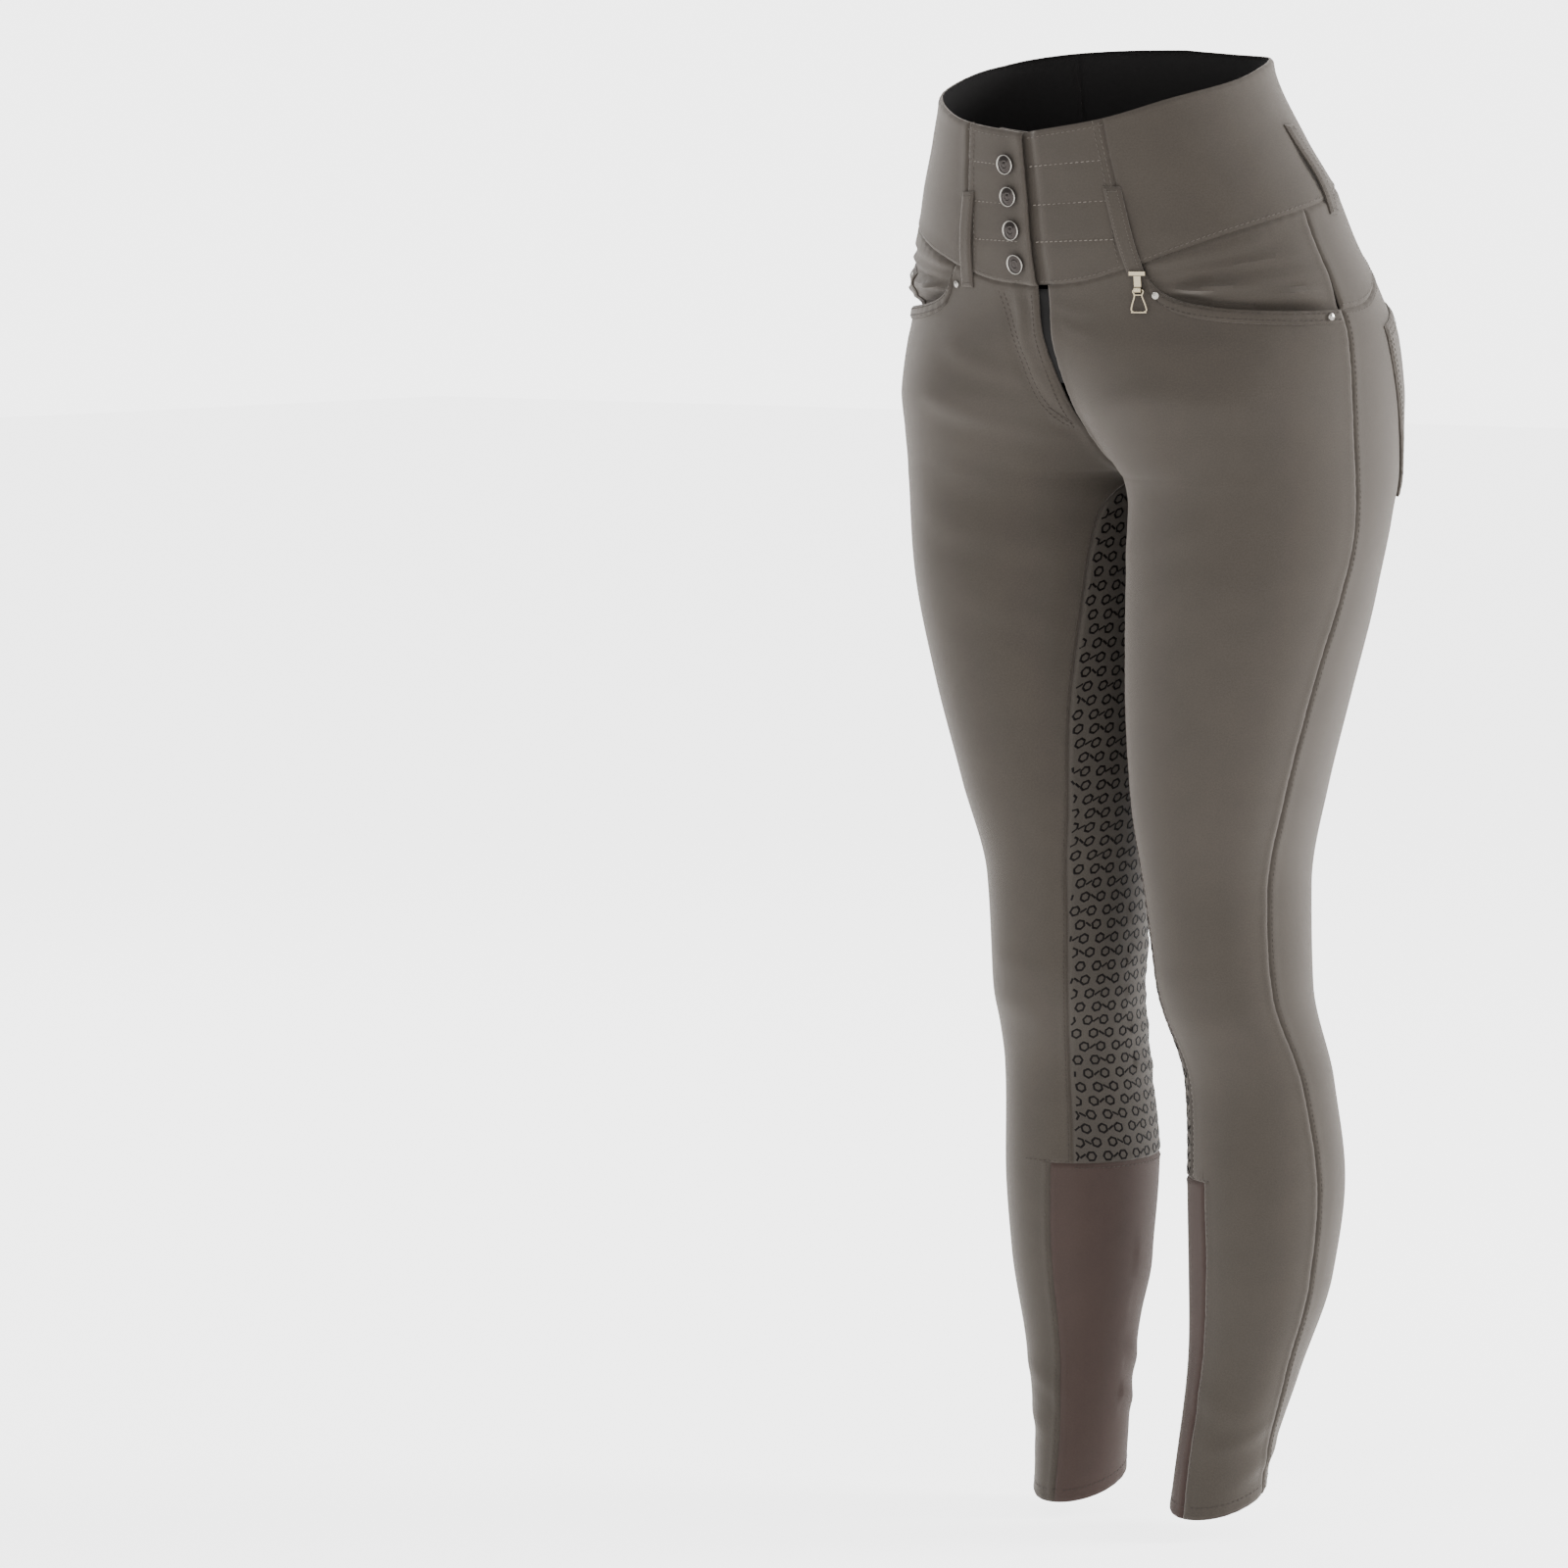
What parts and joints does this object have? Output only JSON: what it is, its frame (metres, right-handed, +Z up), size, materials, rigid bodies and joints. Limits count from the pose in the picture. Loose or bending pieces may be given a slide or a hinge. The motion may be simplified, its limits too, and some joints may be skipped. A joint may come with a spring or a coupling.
{
  "type": "riding breeches",
  "caption": "Close-fitting riding breeches with a tall buttoned waistband, belt loops, pockets, printed grip seat and smooth calf panels, worn and filled out.",
  "frame": {"origin": "middle of the waist opening, level with the side of the rim", "axes": "+Z up along the body, the front faces -Y, the wearer's left is +X"},
  "size_m": [0.3555, 0.2626, 0.9887],
  "materials": {
    "cloth": "matt taupe grey stretch twill",
    "grip_cloth": "taupe grey stretch cloth with a printed glossy dark brown grip pattern",
    "calf_cloth": "smooth mauve brown stretch cloth",
    "dark_cloth": "dark cloth behind the fly",
    "leather": "smooth red brown leather, bare",
    "dark_metal": "silver rim and dark polished centre",
    "silver_metal": "satin silver",
    "pale_brass": "pale polished brass"
  },
  "bodies": {
    "garment": {"front_panel_l": "cloth", "grip_panel_l": "grip_cloth", "back_panel_l": "cloth", "calf_panel_l": "calf_cloth", "yoke_l": "cloth", "pocket_facing_l": "cloth", "pocket_trim_l": "cloth", "back_pocket_l": "cloth", "front_panel_r": "cloth", "grip_panel_r": "grip_cloth", "back_panel_r": "cloth", "calf_panel_r": "calf_cloth", "yoke_r": "cloth", "pocket_facing_r": "cloth", "pocket_trim_r": "cloth", "back_pocket_r": "cloth", "waistband_front_l": "cloth", "waistband_front_r": "cloth", "waistband_side_l": "cloth", "waistband_side_r": "cloth", "waistband_back": "cloth", "fly_shield": "dark_cloth", "coin_pocket_r": "cloth", "leather_patch": "leather", "loop_front_l": "cloth", "loop_front_r": "cloth", "loop_side_l": "cloth", "loop_side_r": "cloth", "loop_back": "cloth", "button_1": "dark_metal", "button_2": "dark_metal", "button_3": "dark_metal", "button_4": "dark_metal", "rivet_pocket_front_l": "silver_metal", "rivet_pocket_side_l": "silver_metal", "rivet_pocket_front_r": "silver_metal", "rivet_pocket_side_r": "silver_metal", "rivet_coin_front": "silver_metal", "rivet_coin_back": "silver_metal", "charm_clip": "pale_brass", "charm_bar": "pale_brass"},
    "charm": {"charm_stirrup": "pale_brass"}
  },
  "joints": [
    {"name": "charm_swing", "type": "hinge", "parent": "garment", "child": "charm", "pos_m": [0.07628, -0.068, -0.14348], "axis": [-0.9527, -0.3038, 0], "range_deg": [0, 75]}
  ]
}
